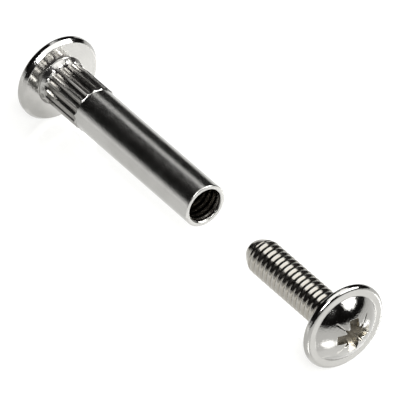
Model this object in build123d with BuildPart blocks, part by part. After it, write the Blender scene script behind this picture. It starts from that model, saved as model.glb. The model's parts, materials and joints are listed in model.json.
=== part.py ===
from build123d import *
from math import cos, hypot, radians, sqrt, tan
import os

os.makedirs("parts", exist_ok=True)

# Binding barrel screw: a ribbed sleeve nut, the barrel, and the flanged M4 screw that closes it.
# Both lie on one axis along X, the barrel's head at -X and the screw drawn out of its mouth
# towards +X. The rims of the two heads stand on the plane Z = 0. Sizes are in millimetres.

# Both heads
head_diameter = 9.6

# Barrel: head, collar, ribbed stretch, plain shank and blind bore, turned in one piece
barrel_length = 25.2            # underside of the head to the mouth
barrel_rim = 1.0                # thickness of the head at its rim
barrel_crown = 0.45             # rise of the crowned outer face above the rim
barrel_under_edge = 0.3         # rounding between underside and rim
barrel_outer_edge = 0.3         # rounding between rim and crown
shank_diameter = 4.85           # slides into a 5 mm hole
collar_diameter = 5.5           # smooth foot of the shank, at the underside
collar_length = 0.55
rib_count = 18
rib_length = 5.4                # straight ribs that bite into the wood
rib_crest_diameter = 5.1
flute_depth = 0.24              # from the sharp rib crests to the floor of a flute
rib_allowance = 0.03            # left on the blank above the crests, gone between the flutes
mouth_chamfer = 0.25
bore_spare = 4.5                # blind bore past the seated screw's tip
drill_point_angle = 118.0

# Screw: flanged dome head with a cross recess, and threaded shank, formed in one piece
screw_length = 14.5             # underside of the head to the tip
thread_diameter = 3.88          # over the crests of the M4 thread
thread_play = 0.05              # all round, between the thread crests and the bore
tip_diameter = 2.6
tip_taper = 1.6                 # run of the tapered first threads
flange_thickness = 0.85
flange_under_edge = 0.35        # roundings of the flange's rim
flange_front_edge = 0.45
dome_diameter = 7.5
dome_height = 1.45              # above the flange
dome_flat_diameter = 2.7        # flat round the recess at the top of the dome
cross_span = 4.5                # recess, tip to tip of the wings, at the top of the dome
cross_width = 1.15              # of a wing, at the top
cross_depth = 2.0
cross_floor_span = 2.1
cross_floor_width = 0.75
notch_span = 3.2                # thin notches midway between the wings
notch_width = 0.3
notch_floor_span = 1.7
notch_floor_width = 0.2
core_diameter = 2.2             # round middle of the recess
core_floor_diameter = 1.4
core_point = 0.35               # cone below the floor of the recess
recess_turn = -3.0              # degrees, of the wings about the axis

# How the two stand to each other
gap = 8.4                       # mouth to the screw's tip, with the screw drawn right out

# Worked out from the above
head_radius = head_diameter / 2
shank_radius = shank_diameter / 2
crest_radius = rib_crest_diameter / 2
thread_radius = thread_diameter / 2
bore_radius = thread_radius + thread_play
bore_depth = screw_length + bore_spare
drill_point = bore_radius / tan(radians(drill_point_angle / 2))
barrel_head_height = barrel_rim + barrel_crown
screw_head_height = flange_thickness + dome_height
total_length = barrel_head_height + barrel_length + gap + screw_length + screw_head_height
barrel_seat_x = barrel_head_height - total_length / 2      # underside of the barrel's head
mouth_x = barrel_seat_x + barrel_length
screw_seat_x = mouth_x + gap + screw_length                # underside of the screw's head
axis_height = head_radius
turning_axis = Axis((0, 0, axis_height), (1, 0, 0))


def profile_plane(x):
    """Half section: its x runs along the turning axis from x, its y is the radius."""
    return Plane(origin=(x, 0, axis_height), x_dir=(1, 0, 0), z_dir=(0, -1, 0))


def cross_plane(x):
    """Plane square to the turning axis at x, facing +X."""
    return Plane(origin=(x, 0, axis_height), x_dir=(0, 1, 0), z_dir=(1, 0, 0))


def dome_radius(foot, top, rise):
    """Sphere through two circles of radius foot and top that lie rise apart on its axis."""
    centre_below_foot = (foot**2 - top**2 - rise**2) / (2 * rise)
    return hypot(foot, centre_below_foot)


# ---- barrel ----
rib_start = collar_length
rib_end = rib_start + rib_length
blank_radius = crest_radius + rib_allowance
rib_runout = blank_radius - shank_radius

# a round-nosed cutter through two neighbouring crests and the floor between them
floor_radius = crest_radius - flute_depth
crest_reach = crest_radius * cos(radians(180 / rib_count))
cutter_axis_radius = (crest_radius**2 - floor_radius**2) / (2 * (crest_reach - floor_radius))
cutter_radius = cutter_axis_radius - floor_radius
flute_nose = sqrt(cutter_radius**2 - (cutter_axis_radius - crest_radius) ** 2)

with BuildPart() as barrel:
    with BuildSketch(profile_plane(barrel_seat_x)):
        with BuildLine():
            crown = RadiusArc(
                (-barrel_head_height, 0),
                (-barrel_rim, head_radius),
                dome_radius(head_radius, 0, barrel_crown),
            )
            Polyline(
                crown @ 1,
                (0, head_radius),
                (0, collar_diameter / 2),
                (rib_start, blank_radius),
                (rib_end, blank_radius),
                (rib_end + rib_runout, shank_radius),
                (barrel_length, shank_radius),
                (barrel_length, 0),
                crown @ 0,
            )
        make_face()
        rim_corners = vertices().group_by(Axis.Y)[-1].sort_by(Axis.X)
        fillet(rim_corners[0], barrel_outer_edge)
        fillet(rim_corners[-1], barrel_under_edge)
    revolve(axis=turning_axis)

    # ribs: what the flutes leave standing between them
    flute_start = barrel_seat_x + rib_start + flute_nose
    flute_end = barrel_seat_x + rib_end - flute_nose
    with BuildSketch(cross_plane(flute_start)):
        with PolarLocations(cutter_axis_radius, rib_count):
            Circle(cutter_radius)
    extrude(amount=flute_end - flute_start, mode=Mode.SUBTRACT)
    for x in (flute_start, flute_end):
        with Locations(cross_plane(x)):
            with PolarLocations(cutter_axis_radius, rib_count):
                Sphere(cutter_radius, mode=Mode.SUBTRACT)

    # mouth: chamfered outer edge, then the blind bore with its drill point
    mouth = faces().sort_by(Axis.X)[-1]
    chamfer(mouth.edges(), mouth_chamfer)
    with Locations(cross_plane(mouth_x)):
        Hole(bore_radius, depth=bore_depth)
    with Locations(cross_plane(mouth_x - bore_depth)):
        Cone(
            bottom_radius=0,
            top_radius=bore_radius,
            height=drill_point,
            align=(Align.CENTER, Align.CENTER, Align.MAX),
            mode=Mode.SUBTRACT,
        )
barrel.part.label = "barrel"
export_step(barrel.part, "parts/barrel.step")

# ---- screw ----
flat_radius = dome_flat_diameter / 2
foot_radius = dome_diameter / 2

with BuildPart() as screw:
    with BuildSketch(profile_plane(screw_seat_x)):
        with BuildLine():
            dome = RadiusArc(
                (flange_thickness, foot_radius),
                (screw_head_height, flat_radius),
                dome_radius(foot_radius, flat_radius, dome_height),
            )
            Polyline(
                dome @ 1,
                (screw_head_height, 0),
                (-screw_length, 0),
                (-screw_length, tip_diameter / 2),
                (-screw_length + tip_taper, thread_radius),
                (0, thread_radius),
                (0, head_radius),
                (flange_thickness, head_radius),
                dome @ 0,
            )
        make_face()
        rim_corners = vertices().group_by(Axis.Y)[-1].sort_by(Axis.X)
        fillet(rim_corners[0], flange_under_edge)
        fillet(rim_corners[-1], flange_front_edge)
    revolve(axis=turning_axis)

    # cross recess: four tapered wings, four notches and a round, pointed middle
    recess_top = screw_seat_x + screw_head_height
    recess_floor = recess_top - cross_depth
    with BuildSketch(cross_plane(recess_top)):
        Rectangle(cross_span, cross_width, rotation=recess_turn)
        Rectangle(cross_width, cross_span, rotation=recess_turn)
    with BuildSketch(cross_plane(recess_floor)):
        Rectangle(cross_floor_span, cross_floor_width, rotation=recess_turn)
        Rectangle(cross_floor_width, cross_floor_span, rotation=recess_turn)
    loft(mode=Mode.SUBTRACT)
    notch_turn = recess_turn + 45
    with BuildSketch(cross_plane(recess_top)):
        Rectangle(notch_span, notch_width, rotation=notch_turn)
        Rectangle(notch_width, notch_span, rotation=notch_turn)
    with BuildSketch(cross_plane(recess_floor)):
        Rectangle(notch_floor_span, notch_floor_width, rotation=notch_turn)
        Rectangle(notch_floor_width, notch_floor_span, rotation=notch_turn)
    loft(mode=Mode.SUBTRACT)
    with Locations(cross_plane(recess_floor)):
        Cone(
            bottom_radius=core_floor_diameter / 2,
            top_radius=core_diameter / 2,
            height=cross_depth,
            align=(Align.CENTER, Align.CENTER, Align.MIN),
            mode=Mode.SUBTRACT,
        )
        Cone(
            bottom_radius=0,
            top_radius=core_floor_diameter / 2,
            height=core_point,
            align=(Align.CENTER, Align.CENTER, Align.MAX),
            mode=Mode.SUBTRACT,
        )
screw.part.label = "screw"
export_step(screw.part, "parts/screw.step")
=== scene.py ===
"""Looks of the binding barrel screw: a nickel-plated sleeve nut and its flanged screw.

Both pieces are turned round one axis along X. Each is a set of skins worked out as whole
arrays of points (along the axis, out from it, angle round it) and stitched where they meet.
"""

import json
import math

import bmesh
import bpy
import numpy as np
from mathutils import Matrix, Vector


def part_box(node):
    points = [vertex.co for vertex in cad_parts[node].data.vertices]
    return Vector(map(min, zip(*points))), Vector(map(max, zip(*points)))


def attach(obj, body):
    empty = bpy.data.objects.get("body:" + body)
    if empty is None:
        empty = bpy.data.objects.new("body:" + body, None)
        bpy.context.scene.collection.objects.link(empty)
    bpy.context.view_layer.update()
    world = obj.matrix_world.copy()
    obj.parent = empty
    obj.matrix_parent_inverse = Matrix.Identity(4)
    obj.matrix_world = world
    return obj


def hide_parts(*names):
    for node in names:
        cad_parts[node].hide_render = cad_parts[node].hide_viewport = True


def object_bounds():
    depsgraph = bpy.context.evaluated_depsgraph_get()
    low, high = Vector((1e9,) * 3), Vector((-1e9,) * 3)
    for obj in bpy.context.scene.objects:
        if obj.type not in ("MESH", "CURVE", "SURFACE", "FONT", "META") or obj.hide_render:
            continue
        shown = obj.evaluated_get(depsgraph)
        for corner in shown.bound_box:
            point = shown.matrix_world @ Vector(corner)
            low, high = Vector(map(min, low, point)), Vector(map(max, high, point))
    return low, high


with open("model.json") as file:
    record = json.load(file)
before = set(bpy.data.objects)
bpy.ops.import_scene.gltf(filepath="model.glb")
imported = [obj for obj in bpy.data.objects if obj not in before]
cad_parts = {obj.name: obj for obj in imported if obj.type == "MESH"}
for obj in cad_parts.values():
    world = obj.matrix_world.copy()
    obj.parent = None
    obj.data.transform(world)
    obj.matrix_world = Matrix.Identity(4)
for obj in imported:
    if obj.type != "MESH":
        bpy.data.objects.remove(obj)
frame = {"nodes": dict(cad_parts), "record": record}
cad_low, cad_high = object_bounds()

MM = 0.001
TAU = 2 * math.pi

# ---- places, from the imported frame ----
barrel_low, barrel_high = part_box("barrel")
screw_low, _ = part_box("screw")
axis_z = (barrel_low.z + barrel_high.z) / 2
head_radius = (barrel_high.z - barrel_low.z) / 2
mouth_x = barrel_high.x
tip_x = screw_low.x
travel = frame["record"]["behaviour"]["joints"][0]["range_m"][1]

# ---- sizes of both ----
pitch = 0.7 * MM
first_crest = 0.35 * pitch      # of the screw's thread, from its tip
flank = 0.93                    # the nearer to 1, the straighter the thread's flanks
# thread darkening: a coating tint on its crests, and in its roots that tint plus painted shade
film_on_crest, tint_and_shade_in_root = 0.35, 0.65
thread_dull = 0.7
crisp_angle = math.radians(38)  # edges that bend by more aren't smoothed

# ---- sizes of the barrel ----
barrel_columns = 180            # points round it, ten to a rib
barrel_length = 25.2 * MM       # underside of the head to the mouth
barrel_rim = 1.0 * MM
crown_rise = 0.45 * MM
crown_edge = 0.3 * MM           # rounding between crown and rim
bevel_run = 0.4 * MM            # between rim and underside, along the axis
bevel_drop = 0.31 * MM          # and towards it
shank_radius = 2.425 * MM
collar_radius = 2.75 * MM
collar_length = 0.55 * MM
collar_land = 0.14 * MM         # at full width, before the slope to the ribs
collar_fillet = 0.03 * MM       # at its foot
rib_length = 5.4 * MM
rib_count = 18
rib_crest = 2.55 * MM
rib_floor = 2.31 * MM
rib_allowance = 0.02 * MM       # of the blank over the crests
rib_ends = 0.5 * MM             # stretches at the ribs' ends where the points lie close
flute_overrun = 0.2 * MM        # of the cutter into the shoulder
mouth_edge = 0.13 * MM
bore_crest = 1.84 * MM          # female thread: towards the axis
bore_groove = 1.965 * MM        # and into the wall
bore_lip = 1.955 * MM           # countersunk edge at the mouth
lip_depth = 0.05 * MM
lip_width = 0.06 * MM
lip_slope = 0.3                 # widening of the grooves' floor behind the lip, per depth
bore_thread_length = 17.6 * MM
bore_runout = 0.8 * pitch
bore_length = 19.0 * MM
drill_point = math.radians(59)  # its slope against the axis
bore_shade = 1.5 * MM           # depth into the bore at which the painted shade is full
barrel_seat_x = mouth_x - barrel_length

# ---- sizes of the screw ----
screw_columns = 192             # points round it, 48 to a wing of the recess
screw_length = 14.5 * MM        # underside of the head to the tip
thread_crest = 1.94 * MM
thread_root = 1.82 * MM
thread_runout = 0.5 * pitch
tip_radius = 0.95 * MM
tip_taper = 1.6 * MM
taper_curve = 0.6               # exponent: below 1 the tip is rounded
dish_depth = 0.14 * MM
dish_radius = 0.45 * MM
flange_thickness = 0.85 * MM
flange_under_edge = 0.33 * MM
flange_front_edge = 0.43 * MM
dome_foot = 3.75 * MM
dome_flat = 1.35 * MM
dome_rise = 1.45 * MM
dome_skirt = 3.45 * MM          # turned outside this radius, ringed round the cross inside it
tick_end = 2.7 * MM             # engraved ticks between the wings: how far out they reach
tick_fade = 0.15 * MM
tick_half_width = 0.07 * MM
tick_depth = 0.04 * MM
recess_turn = math.radians(-3.0)
recess_depth = 2.0 * MM
recess_curve = 2.6              # exponent: 1 is straight walls
# span and width of a wing, radius of the core, reach of a notch beyond it
recess_top = np.array([4.5, 1.15, 1.1, 0.5]) * MM
recess_floor = np.array([2.1, 0.75, 0.7, 0.15]) * MM
recess_point = 0.35 * MM        # cone below the floor
point_radius = 0.8 * MM
wing_corner = 0.07              # rounding, as a share of the wing's width
notch_half_angle = 0.13         # at the core's edge, in radians
notch_tip_angle = 0.02
lip_margin = 0.12 * MM          # rings of the dome end so far from the lip of the cross
# the raised lip's own rings: how far out from the recess, and how far above the dome
lip_out = np.array([0.07, 0.035, 0.012, 0])[:, None] * MM
lip_up = np.array([0.008, 0.008, -0.005, -0.03])[:, None] * MM
screw_seat_x = tip_x + screw_length


# ---- skins ----
def rounded_line(corners, support=0.03 * MM):
    """Line through (along, out, rounding) corners: each rounding r is the arc that touches both
    runs, centre at r / sin(half the corner) on its bisector, nine points long. A point just
    before and just after the arc keeps the flat runs flat in the shading."""
    c = np.array(corners, float)
    line = [c[:1, :2]]
    for before, at, after in zip(c[:-2], c[1:-1], c[2:]):
        p, r = at[:2], at[2]
        if r == 0:
            line.append(p[None])
            continue
        back, on = before[:2] - p, after[:2] - p
        run_back, run_on = np.linalg.norm(back), np.linalg.norm(on)
        back, on = back / run_back, on / run_on
        half = math.acos(np.clip(back @ on, -1, 1)) / 2
        touch = r / math.tan(half)
        middle = (back + on) / np.linalg.norm(back + on)
        centre = p + middle * r / math.sin(half)
        first, last = p + back * touch, p + on * touch
        t = np.linspace(0, 1, 9)[:, None]
        sweep = math.pi - 2 * half
        a, b = first - centre, last - centre
        arc = centre + (np.sin((1 - t) * sweep) * a + np.sin(t * sweep) * b) / math.sin(sweep)
        line.append(first[None] + back * min(support, 0.4 * (run_back - touch)))
        line.append(arc)
        line.append(last[None] + on * min(support, 0.4 * (run_on - touch)))
    line.append(c[-1:, :2])
    return np.vstack(line)


def sphere_height(out, foot, top, rise):
    """Height of a sphere at the radius out, above the circle of radius foot. It passes through
    that circle and one of radius top, rise higher: sqrt(R^2 - out^2) - depth of its centre."""
    below = (foot**2 - top**2 - rise**2) / (2 * rise)
    radius = math.hypot(foot, below)
    return np.sqrt(radius**2 - out**2) - below


def turned(x, out, angle):
    """Points at x along the axis, out from it, at an angle from +Y towards +Z."""
    x, out, angle = np.broadcast_arrays(x, out, angle)
    return np.stack([x, out * np.cos(angle), axis_z + out * np.sin(angle)], -1)


def closed_rows(points, shade_and_tint, dull):
    """Skin of rows x columns points, the last column joined to the first. Returns the points,
    their share of painted shade over a coating tint (more the deeper they lie in a hollow), how
    dull each one is, and the corner numbers of its faces. They face out of the solid when its
    profile goes along +X outside and back along -X inside."""
    rows, columns = points.shape[:2]
    number = np.arange(rows * columns).reshape(rows, columns)
    right = np.roll(number, -1, 1)
    faces = np.stack([right[:-1], right[1:], number[1:], number[:-1]], -1).reshape(-1, 4)
    shade_and_tint = np.broadcast_to(shade_and_tint, (rows, columns))
    dull = np.broadcast_to(dull, (rows, columns))
    return points.reshape(-1, 3), shade_and_tint.reshape(-1), dull.reshape(-1), faces


def turned_rows(line, angle, shade_and_tint, dull):
    """Skin of a profile line of (along, out) points turned round the axis."""
    return closed_rows(turned(line[:, :1], line[:, 1:], angle[None]), shade_and_tint, dull)


def thread_form(start, middle, count):
    """Shares of the pitch, radii and share of coating tint with painted shade of one turn, from
    the (radius, shade) at its start and in its middle: straight flanks with rounded crests and
    roots, the shade going with the radius. With f for flank, the share of the way from start to
    middle is 1/2 - asin(f cos a) / (2 asin f) at the turn a."""
    share = np.arange(count) / count
    level = 0.5 - np.arcsin(flank * np.cos(TAU * share)) / (2 * math.asin(flank))
    out, tint_and_shade = (u + (v - u) * level for u, v in zip(start, middle))
    return share, out, tint_and_shade


def threaded_rows(x_start, x_end, start_at, form, outline, angle, female=False):
    """Thread skin: point (i, j) is at angle i / columns of a turn and at pitch * (i / columns +
    share j) along the axis, so its grid runs with the helix. The far side of one turn is the near
    side of the next. A turn of the form starts at start_at. x is held between x_start and x_end,
    and outline(x, out) gives the radius there, the same at every angle of the two ends, where all
    points beyond fall on one circle. A female thread faces the axis, and its painted shade
    deepens from the lip into the bore."""
    share, out, tint_and_shade = form
    columns = len(angle)
    first_x = start_at - pitch * math.ceil((start_at - x_start) / pitch + 1.01)
    turns = math.ceil((x_end - first_x) / pitch) + 2
    i = np.arange(turns * columns + 1)[:, None]
    x = np.clip(first_x + pitch * (i / columns + share[None]), x_start, x_end)
    points = turned(x, outline(x, out[None]), angle[0] + TAU * i / columns)
    shade_and_tint = np.broadcast_to(tint_and_shade[None], x.shape)
    number = np.arange(x.size).reshape(x.shape)
    near = number[:-columns]
    far = np.concatenate([near[:, 1:], number[columns:, :1]], 1)
    faces = np.stack([near[:-1], far[:-1], far[1:], near[1:]], -1).reshape(-1, 4)
    if female:
        # painted shade deepening from the lip into the bore
        shade_and_tint = np.clip(shade_and_tint + (x_end - x) / bore_shade, 0, 1)
    else:
        faces = faces[:, ::-1]
    return points.reshape(-1, 3), shade_and_tint.reshape(-1), np.full(x.size, thread_dull), faces


def stitched(name, skins, body, node, finish):
    """One piece from its skins: points that fall together are merged, which closes the poles and
    the joints between skins."""
    points = np.vstack([s[0] for s in skins])
    offsets = np.cumsum([0] + [len(s[0]) for s in skins[:-1]])
    faces = np.vstack([s[3] + o for s, o in zip(skins, offsets)])
    mesh = bpy.data.meshes.new(name)
    mesh.vertices.add(len(points))
    mesh.vertices.foreach_set("co", points.astype(np.float32).ravel())
    mesh.loops.add(faces.size)
    mesh.loops.foreach_set("vertex_index", faces.astype(np.int32).ravel())
    mesh.polygons.add(len(faces))
    mesh.polygons.foreach_set("loop_start", np.arange(0, faces.size, 4, dtype=np.int32))
    mesh.update(calc_edges=True)
    # the first attribute is the share of painted shade over a coating tint, the second how dull
    for number, kind in ((1, "shade_and_tint"), (2, "dull")):
        values = np.concatenate([s[number] for s in skins])
        layer = mesh.attributes.new(kind, "FLOAT", "POINT")
        layer.data.foreach_set("value", values.astype(np.float32))
    work = bmesh.new()
    work.from_mesh(mesh)
    bmesh.ops.remove_doubles(work, verts=work.verts, dist=2e-7)
    bmesh.ops.dissolve_degenerate(work, edges=work.edges, dist=1e-8)
    loose = [v for v in work.verts if not v.link_faces]
    bmesh.ops.delete(work, geom=loose, context="VERTS")
    work.to_mesh(mesh)
    work.free()
    mesh.shade_smooth()
    mesh.set_sharp_from_angle(angle=crisp_angle)
    mesh.materials.append(finish)
    piece = bpy.data.objects.new(name, mesh)
    bpy.context.scene.collection.objects.link(piece)
    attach(piece, body)
    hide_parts(node)


# ---- barrel ----
def flute_floor(x, angle):
    """Radius of the flutes at x: a ball-nosed cutter of radius c whose path lies a from the axis.
    At the angle d from the middle of a flute and the run n into its nose, the radius is
    a cos d - sqrt(c^2 - a^2 sin^2 d - n^2), and without end where nothing is cut."""
    reach = rib_crest * math.cos(math.pi / rib_count)
    a = (rib_crest**2 - rib_floor**2) / (2 * (reach - rib_floor))
    c = a - rib_floor
    nose = math.sqrt(c**2 - (a - rib_crest) ** 2)
    start = barrel_seat_x + collar_length + nose
    end = barrel_seat_x + collar_length + rib_length - nose + flute_overrun
    step = TAU / rib_count
    d = (angle + step / 2) % step - step / 2
    n = np.maximum(np.maximum(start - x, x - end), 0)
    inside = c**2 - (a * np.sin(d)) ** 2 - n**2
    floor = a * np.cos(d) - np.sqrt(np.maximum(inside, 0))
    return np.where(inside > 0, floor, np.inf)


def barrel_outside(angle):
    """Crown, rim, flat underside, collar, ribs, plain shank and rounded mouth, as one turned
    profile whose radius is cut down to the flutes along the ribs."""
    seat, rim = barrel_seat_x, barrel_seat_x - barrel_rim
    rib_start = seat + collar_length
    rib_end = rib_start + rib_length
    blank = rib_crest + rib_allowance
    out = np.linspace(0, head_radius, 40)
    out = out[out < head_radius - crown_edge - 0.1 * MM]    # clear of the rounded edge
    crown = np.stack([rim - sphere_height(out, head_radius, 0, crown_rise), out, 0 * out], 1)
    head = rounded_line([
        *crown,
        (rim, head_radius, crown_edge),
        (seat - bevel_run, head_radius, 0.15 * MM),
        (seat, head_radius - bevel_drop, 0.1 * MM),
        (seat, collar_radius + collar_fillet, collar_fillet),
        (seat + collar_land, collar_radius, 0.2 * MM),
        (rib_start, blank, 0),
    ])
    run = np.linspace(0, rib_ends, 22)
    x = np.concatenate([rib_start + run[1:], rib_end - run[::-1], rib_end + run[1:]])
    ribs = np.stack([x, np.clip(blank + rib_end - x, shank_radius, blank)], 1)
    shank = rounded_line([
        (rib_end + rib_ends, shank_radius, 0),
        (mouth_x, shank_radius, mouth_edge),
        (mouth_x, bore_lip + lip_width, 0.02 * MM),
        (mouth_x - lip_depth, bore_lip, 0),
    ])
    line = np.vstack([head, ribs, shank[1:]])
    x, out = line[:, :1], line[:, 1:]
    fluted = (x >= rib_start) & (x <= rib_end + rib_ends)
    radius = np.where(fluted, np.minimum(out, flute_floor(x, angle[None])), out)
    # painted shade in the flutes, deeper where the cutter went deeper below the blank
    shade_and_tint = 0.6 * np.clip((out - radius) / (rib_crest - rib_floor), 0, 1)
    shaft, underside = x > seat + 0.1 * MM, x > seat - 0.01 * MM
    dull = np.where(shaft, 1.0, np.where(underside, 0.6, 0.1))
    return closed_rows(turned(x, radius, angle[None]), shade_and_tint, dull)


def barrel_bore(angle):
    """Countersunk, threaded blind bore. The wall is the wider of the thread and the countersink;
    past the thread it is plain, and ends in a drill point."""
    # coating tint on the thread's crests, with painted shade deeper in its grooves
    form = thread_form((bore_groove, tint_and_shade_in_root), (bore_crest, film_on_crest), 12)
    lip_x = mouth_x - lip_depth
    thread_end = mouth_x - bore_thread_length

    def wall(x, r):
        fade = np.clip((x - thread_end) / bore_runout, 0, 1)
        depth = lip_x - x
        thread = np.minimum(bore_crest + (r - bore_crest) * fade, bore_lip + lip_slope * depth)
        return np.maximum(thread, bore_lip - depth)

    # in phase with the screw's thread when the screw is home
    groove_at = tip_x + first_crest - travel
    threaded = threaded_rows(thread_end, lip_x, groove_at, form, wall, angle, female=True)
    end = mouth_x - bore_length
    blind_end = rounded_line([
        (thread_end, bore_crest, 0),
        (end, bore_crest, 0.05 * MM),
        (end - bore_crest / math.tan(drill_point), 0, 0),
    ])
    # the drilled blind end takes painted shade at a fixed share of 0.6
    return [threaded, turned_rows(blind_end, angle, shade_and_tint=0.6, dull=1.0)]


# ---- screw ----
def screw_thread(angle):
    """Rolled thread from the tapered tip to the flange, where it runs out to its root, and the
    small dish in the end of the tip."""
    # coating tint on the crests, with painted shade deeper towards the roots
    form = thread_form((thread_crest, film_on_crest), (thread_root, tint_and_shade_in_root), 16)

    def rod(x, r):
        grown = np.clip((x - tip_x) / tip_taper, 0, 1) ** taper_curve
        taper = tip_radius + (thread_crest - tip_radius) * grown
        fade = np.clip((screw_seat_x - x) / thread_runout, 0, 1)
        return np.minimum(thread_root + (r - thread_root) * fade, taper)

    threaded = threaded_rows(tip_x, screw_seat_x, tip_x + first_crest, form, rod, angle)
    dish = rounded_line([
        (tip_x + dish_depth, 0, 0),
        (tip_x + dish_depth, dish_radius, 0.15 * MM),
        (tip_x, tip_radius - 0.15 * MM, 0.1 * MM),
        (tip_x, tip_radius, 0),
    ])
    return [threaded, turned_rows(dish, angle, shade_and_tint=0.0, dull=0.5)]


def dome_height(out):
    """Height of the dome over the screw's seat at the radius out: a sphere with a flat top."""
    out = np.maximum(out, dome_flat)
    return flange_thickness + sphere_height(out, dome_foot, dome_flat, dome_rise)


def cross_outline(span, width, core, notch):
    """Outline of the cross recess, 48 points to a quarter, for arrays of its four sizes (rows):
    half a wing's end, its tight corner, its side, the round core between two wings and half the
    notch on the diagonal; mirrored in the diagonal and turned to all four quarters. Points are
    complex numbers, +Y being real and +Z imaginary."""
    half, side = span[:, None] / 2, width[:, None] / 2
    core, notch = core[:, None], notch[:, None]
    r = wing_corner * width[:, None]
    diagonal = math.pi / 4
    bulge = np.array([0, 0.5, 0.9])[None]
    turn = np.linspace(0, math.pi / 2, 5)[None]
    in_core = np.sqrt(np.maximum(core**2 - side**2, 0))
    along = np.linspace(0, 1, 9)[None, 1:]
    low = np.arctan2(side, in_core)
    high = diagonal - notch_half_angle
    arc = low + (high - low) * np.linspace(0, 1, 6)[None, 1:]
    out = core + notch * np.array([0.5, 0.93])[None]
    aside = diagonal - notch_half_angle * core * np.array([0.85, 0.5])[None] / out
    end = core + notch
    a = np.concatenate([
        half + 0 * bulge,
        half - r + r * np.cos(turn),
        half - r + (in_core - half + r) * along,
        core * np.cos(arc),
        out * np.cos(aside),
        end * math.cos(diagonal - notch_tip_angle),
    ], 1)
    b = np.concatenate([
        (side - r) * bulge,
        side - r + r * np.sin(turn),
        side + 0 * along,
        core * np.sin(arc),
        out * np.sin(aside),
        end * math.sin(diagonal - notch_tip_angle),
    ], 1)
    corner = end * math.sqrt(0.5)
    y = np.concatenate([a, corner, b[:, :0:-1]], 1)
    z = y + 1j * np.concatenate([b, corner, a[:, :0:-1]], 1)
    return np.concatenate([z, 1j * z, -z, -1j * z], 1)


def screw_head(angle):
    """Flange and skirt of the dome as a turned profile, then rings from the skirt to the lip of
    the cross, its tapered walls and its pointed floor, as complex numbers with a height each."""
    seat, rim = screw_seat_x, screw_seat_x + flange_thickness
    flange = rounded_line([
        (seat, thread_root, 0),
        (seat, head_radius, flange_under_edge),
        (rim, head_radius, flange_front_edge),
        (rim, dome_foot + 0.02 * MM, 0.12 * MM),
        (seat + dome_height(dome_skirt), dome_skirt, 0),
    ])
    top = dome_height(dome_flat)
    at_top, at_floor = cross_outline(*np.stack([recess_top, recess_floor], 1))

    def narrowed(t):
        """Outline at the share t of the depth: it narrows as 1 - (1 - t)^recess_curve, so the
        wings start as shallow ramps and steepen into the middle."""
        return at_top + (at_floor - at_top) * (1 - (1 - t) ** recess_curve)

    # share of the depth at which each point of the outline meets the dome, by iteration
    t = np.zeros(len(angle))
    for _ in range(12):
        t = np.maximum((top - dome_height(np.abs(narrowed(t)))) / recess_depth, 0)
    lip = narrowed(t)
    along = np.roll(lip, -1) - np.roll(lip, 1)
    outward = -1j * along / np.abs(along)

    skirt = dome_skirt * np.exp(1j * TAU * np.arange(len(angle)) / len(angle))
    edge = lip + lip_margin * outward
    dome = skirt + (edge - skirt) * np.linspace(0, 1, 30)[:, None] ** 0.85
    off_tick = np.abs(dome) * (np.angle(dome) % (math.pi / 2) - math.pi / 4)
    tick = np.clip(1 - np.abs(off_tick) / tick_half_width, 0, 1)
    tick = tick * np.clip((tick_end - np.abs(dome)) / tick_fade, 0, 1)
    raised = lip + lip_out * outward
    depth = t + (1 - t) * np.linspace(0.03, 1, 16)[:, None] ** 1.3
    floor = at_floor * (1 - np.linspace(0, 1, 7)[1:, None])
    point = recess_point * np.clip(1 - np.abs(floor) / point_radius, 0, 1)

    z = np.vstack([dome, raised, narrowed(depth), floor]) * np.exp(1j * angle[0])
    height = np.vstack([
        dome_height(np.abs(dome)) - tick_depth * tick,
        dome_height(np.abs(raised)) + lip_up,
        top - recess_depth * depth,
        top - recess_depth - point,
    ])
    # painted shade, deeper down the cross recess; the engraved ticks take a little, the raised
    # lip none
    shade_and_tint = np.clip(0.5 + (top - height) / recess_depth, 0, 1)
    shade_and_tint[: len(dome)] = 0.3 * tick
    shade_and_tint[len(dome) : len(dome) + len(raised)] = 0.0
    rings = np.stack([seat + height, z.real, axis_z + z.imag], -1)
    return [turned_rows(flange, angle, shade_and_tint=0.0, dull=0.0), closed_rows(rings, shade_and_tint, shade_and_tint)]


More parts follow.
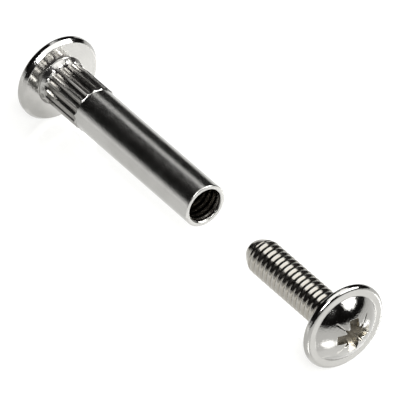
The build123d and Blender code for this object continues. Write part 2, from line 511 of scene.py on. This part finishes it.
# ---- finishes ----
def nickel(name, bright, worn, tint_and_shade_colour, matte_in_shade, turning, drawn):
    """Nickel plate: a pale warm metal with uneven gloss and a fine grain. Turning marks go round
    the axis, with the strength turning. Where the piece is marked it takes a darker colour,
    partly a coating tint and partly painted shade that deepens down hollows, in the recess and
    into the bore; there it gives up to a given share of the metallic look. The marked places have
    streaks along the axis too, with the strength drawn. Noise scales are in features to the
    metre."""
    m = bpy.data.materials.new(name)
    m.use_nodes = True
    n, link = m.node_tree.nodes, m.node_tree.links
    shader = n["Principled BSDF"]
    place = n.new("ShaderNodeTexCoord")

    def noise(scale, detail, stretch=None):
        t = n.new("ShaderNodeTexNoise")
        t.inputs["Scale"].default_value = scale
        t.inputs["Detail"].default_value = detail
        if stretch:
            s = n.new("ShaderNodeMapping")
            s.inputs["Scale"].default_value = stretch
            link.new(place.outputs["Object"], s.inputs["Vector"])
            link.new(s.outputs["Vector"], t.inputs["Vector"])
        else:
            link.new(place.outputs["Object"], t.inputs["Vector"])
        return t.outputs["Fac"]

    def ramp(value, low, high, at=(0.0, 1.0)):
        r = n.new("ShaderNodeMapRange")
        r.inputs["From Min"].default_value, r.inputs["From Max"].default_value = at
        r.inputs["To Min"].default_value, r.inputs["To Max"].default_value = low, high
        link.new(value, r.inputs["Value"])
        return r.outputs["Result"]

    def painted(kind):
        a = n.new("ShaderNodeAttribute")
        a.attribute_name = kind
        return a.outputs["Fac"]

    def bumps(height, distance, strength, under=None):
        b = n.new("ShaderNodeBump")
        b.inputs["Distance"].default_value = distance
        if isinstance(strength, (int, float)):
            b.inputs["Strength"].default_value = strength
        else:
            link.new(strength, b.inputs["Strength"])
        link.new(height, b.inputs["Height"])
        if under is not None:
            link.new(under, b.inputs["Normal"])
        return b.outputs["Normal"]

    # colour: patches of worn plate, and over both a darker colour, a coating tint with painted
    # shade in the hollows
    plate = n.new("ShaderNodeMix")
    plate.data_type = "RGBA"
    plate.inputs["A"].default_value = (*bright, 1)
    plate.inputs["B"].default_value = (*worn, 1)
    link.new(ramp(noise(260, 3), 0, 1, (0.35, 0.7)), plate.inputs["Factor"])
    shade_and_tint = painted("shade_and_tint")
    tint_and_shade = n.new("ShaderNodeMix")
    tint_and_shade.data_type = "RGBA"
    link.new(plate.outputs["Result"], tint_and_shade.inputs["A"])
    tint_and_shade.inputs["B"].default_value = (*tint_and_shade_colour, 1)
    link.new(shade_and_tint, tint_and_shade.inputs["Factor"])
    link.new(tint_and_shade.outputs["Result"], shader.inputs["Base Color"])
    shader.inputs["Metallic"].default_value = 1
    # where the painted shade is full the metal turns partly matte
    if matte_in_shade:
        link.new(ramp(shade_and_tint, 1, 1 - matte_in_shade, (0.65, 1.0)), shader.inputs["Metallic"])

    # gloss: uneven everywhere, lower where the piece is dull
    gloss = n.new("ShaderNodeMath")
    gloss.operation = "ADD"
    link.new(ramp(noise(900, 4), 0.06, 0.13, (0.3, 0.75)), gloss.inputs[0])
    link.new(ramp(painted("dull"), 0, 0.13), gloss.inputs[1])
    link.new(gloss.outputs["Value"], shader.inputs["Roughness"])

    # relief: turning marks, streaks in the valleys, grain
    relief = bumps(noise(1.0, 3, (9000, 260, 260)), 0.004 * MM, turning)
    if drawn:
        strength = ramp(shade_and_tint, 0, drawn, (0.1, 0.5))
        relief = bumps(noise(1.0, 2, (350, 9000, 9000)), 0.03 * MM, strength, relief)
    relief = bumps(noise(5200, 3), 0.016 * MM, 0.7, relief)
    link.new(relief, shader.inputs["Normal"])
    return m


# the dark colours given below are partly a coating tint and partly painted shade for the hollows
turned_nickel = nickel(
    "nickel_turned", bright=(0.43, 0.425, 0.41), worn=(0.37, 0.365, 0.35),
    tint_and_shade_colour=(0.13, 0.12, 0.105), matte_in_shade=0.0, turning=0.8, drawn=1.0,
)
formed_nickel = nickel(
    "nickel_formed", bright=(0.39, 0.385, 0.37), worn=(0.345, 0.34, 0.325),
    tint_and_shade_colour=(0.32, 0.295, 0.245), matte_in_shade=0.5, turning=0.12, drawn=0.0,
)
for node, finish in (("barrel", turned_nickel), ("screw", formed_nickel)):
    for place in frame["nodes"][node].material_slots:
        place.material = finish

barrel_angle = TAU * np.arange(barrel_columns) / barrel_columns
stitched(
    "barrel_turned", [barrel_outside(barrel_angle), *barrel_bore(barrel_angle)],
    "barrel", "barrel", turned_nickel,
)
screw_angle = recess_turn + TAU * np.arange(screw_columns) / screw_columns
stitched(
    "screw_formed", [*screw_thread(screw_angle), *screw_head(screw_angle)],
    "screw", "screw", formed_nickel,
)


# ---- stage ----
def pale_floor():
    """Round, softly glossy white table just under the part: rings of points out to 1.2 m."""
    ring = np.array([0.0, 0.1, 0.3, 1.2])[:, None]
    a = TAU * np.arange(96)[None] / 96
    x, y = ring * np.cos(a), ring * np.sin(a)
    points = np.stack([x, y, np.full(x.shape, cad_low.z - 0.02 * MM)], -1)
    co, _, _, faces = closed_rows(points, 0.0, 0.0)
    mesh = bpy.data.meshes.new("floor")
    mesh.from_pydata(co.tolist(), [], faces.tolist())
    work = bmesh.new()
    work.from_mesh(mesh)
    bmesh.ops.remove_doubles(work, verts=work.verts, dist=1e-6)
    bmesh.ops.dissolve_degenerate(work, edges=work.edges, dist=1e-8)
    bmesh.ops.recalc_face_normals(work, faces=work.faces)
    work.to_mesh(mesh)
    work.free()
    floor = bpy.data.objects.new("floor", mesh)
    bpy.context.scene.collection.objects.link(floor)
    m = bpy.data.materials.new("white_table")
    m.use_nodes = True
    s = m.node_tree.nodes["Principled BSDF"]
    s.inputs["Base Color"].default_value = (0.30, 0.30, 0.297, 1)
    s.inputs["Roughness"].default_value = 0.06
    s.inputs["IOR"].default_value = 2.0
    s.inputs["Emission Color"].default_value = (1, 1, 0.985, 1)
    s.inputs["Emission Strength"].default_value = 0.75
    mesh.materials.append(m)


def softbox(name, towards, far, wide, high, watts, shape="RECTANGLE"):
    """Area light at the distance far in a direction from the part, facing it. Its wide side lies
    level, and along X when the light is overhead."""
    light = bpy.data.lights.new(name, "AREA")
    light.shape = shape
    light.size, light.size_y = wide, high
    light.energy = watts
    lamp = bpy.data.objects.new(name, light)
    way = Vector(towards).normalized()
    lamp.location = Vector((0, 0, axis_z)) + way * far
    lamp.rotation_mode = "QUATERNION"
    side = Vector((0, 1, 0) if way.z > 0.9 else (0, 0, 1)).cross(way).normalized()
    lamp.rotation_quaternion = Matrix((side, way.cross(side), way)).transposed().to_quaternion()
    bpy.context.scene.collection.objects.link(lamp)


def viewpoint(azimuth, elevation, lens, across, aside, above):
    """Long-lens camera that sees a field across wide at the part. Its middle is aside and above
    the axis's own middle."""
    a, e = math.radians(azimuth), math.radians(elevation)
    back = Vector((math.sin(a) * math.cos(e), -math.cos(a) * math.cos(e), math.sin(e)))
    right = Vector((math.cos(a), math.sin(a), 0))
    up = back.cross(right)
    data = bpy.data.cameras.new("camera")
    data.lens = lens
    data.sensor_width = 36
    data.clip_start, data.clip_end = 0.05, 20
    camera = bpy.data.objects.new("camera", data)
    middle = Vector((0, 0, axis_z)) + aside * right + above * up
    camera.location = middle + back * (across * lens / data.sensor_width)
    camera.rotation_mode = "QUATERNION"
    camera.rotation_quaternion = back.to_track_quat("Z", "Y")
    bpy.context.scene.collection.objects.link(camera)
    bpy.context.scene.camera = camera


pale_floor()
# name, direction from the part, distance, width, height, watts
softbox("over_camera", (0.663, -0.333, 0.671), 0.55, 0.23, 0.21, 2.0, "ELLIPSE")
softbox("right", (0.652, 0.528, 0.545), 0.55, 0.36, 0.30, 1.0, "ELLIPSE")
softbox("low_left", (-0.63, -0.76, 0.08), 0.7, 1.0, 0.12, 0.25)
softbox("low_front", (0.0, -0.99, 0.14), 0.7, 0.55, 0.2, 0.22)
softbox("right_back", (0.43, 0.70, 0.57), 0.55, 0.25, 0.21, 2.0, "ELLIPSE")
softbox("above", (0.08, 0.18, 0.99), 0.6, 0.78, 0.64, 3.9)
softbox("left_back", (-0.627, 0.351, 0.695), 0.6, 0.20, 0.08, 0.075)
viewpoint(
    azimuth=54.0, elevation=39.2, lens=900, across=40.4 * MM,
    aside=-0.110 * MM, above=0.253 * MM,
)

world = bpy.data.worlds.new("studio")
world.use_nodes = True
backdrop = world.node_tree.nodes["Background"]
backdrop.inputs["Color"].default_value = (0.008, 0.0075, 0.007, 1)
backdrop.inputs["Strength"].default_value = 1.0
bpy.context.scene.world = world
bpy.context.scene.view_settings.view_transform = "Standard"
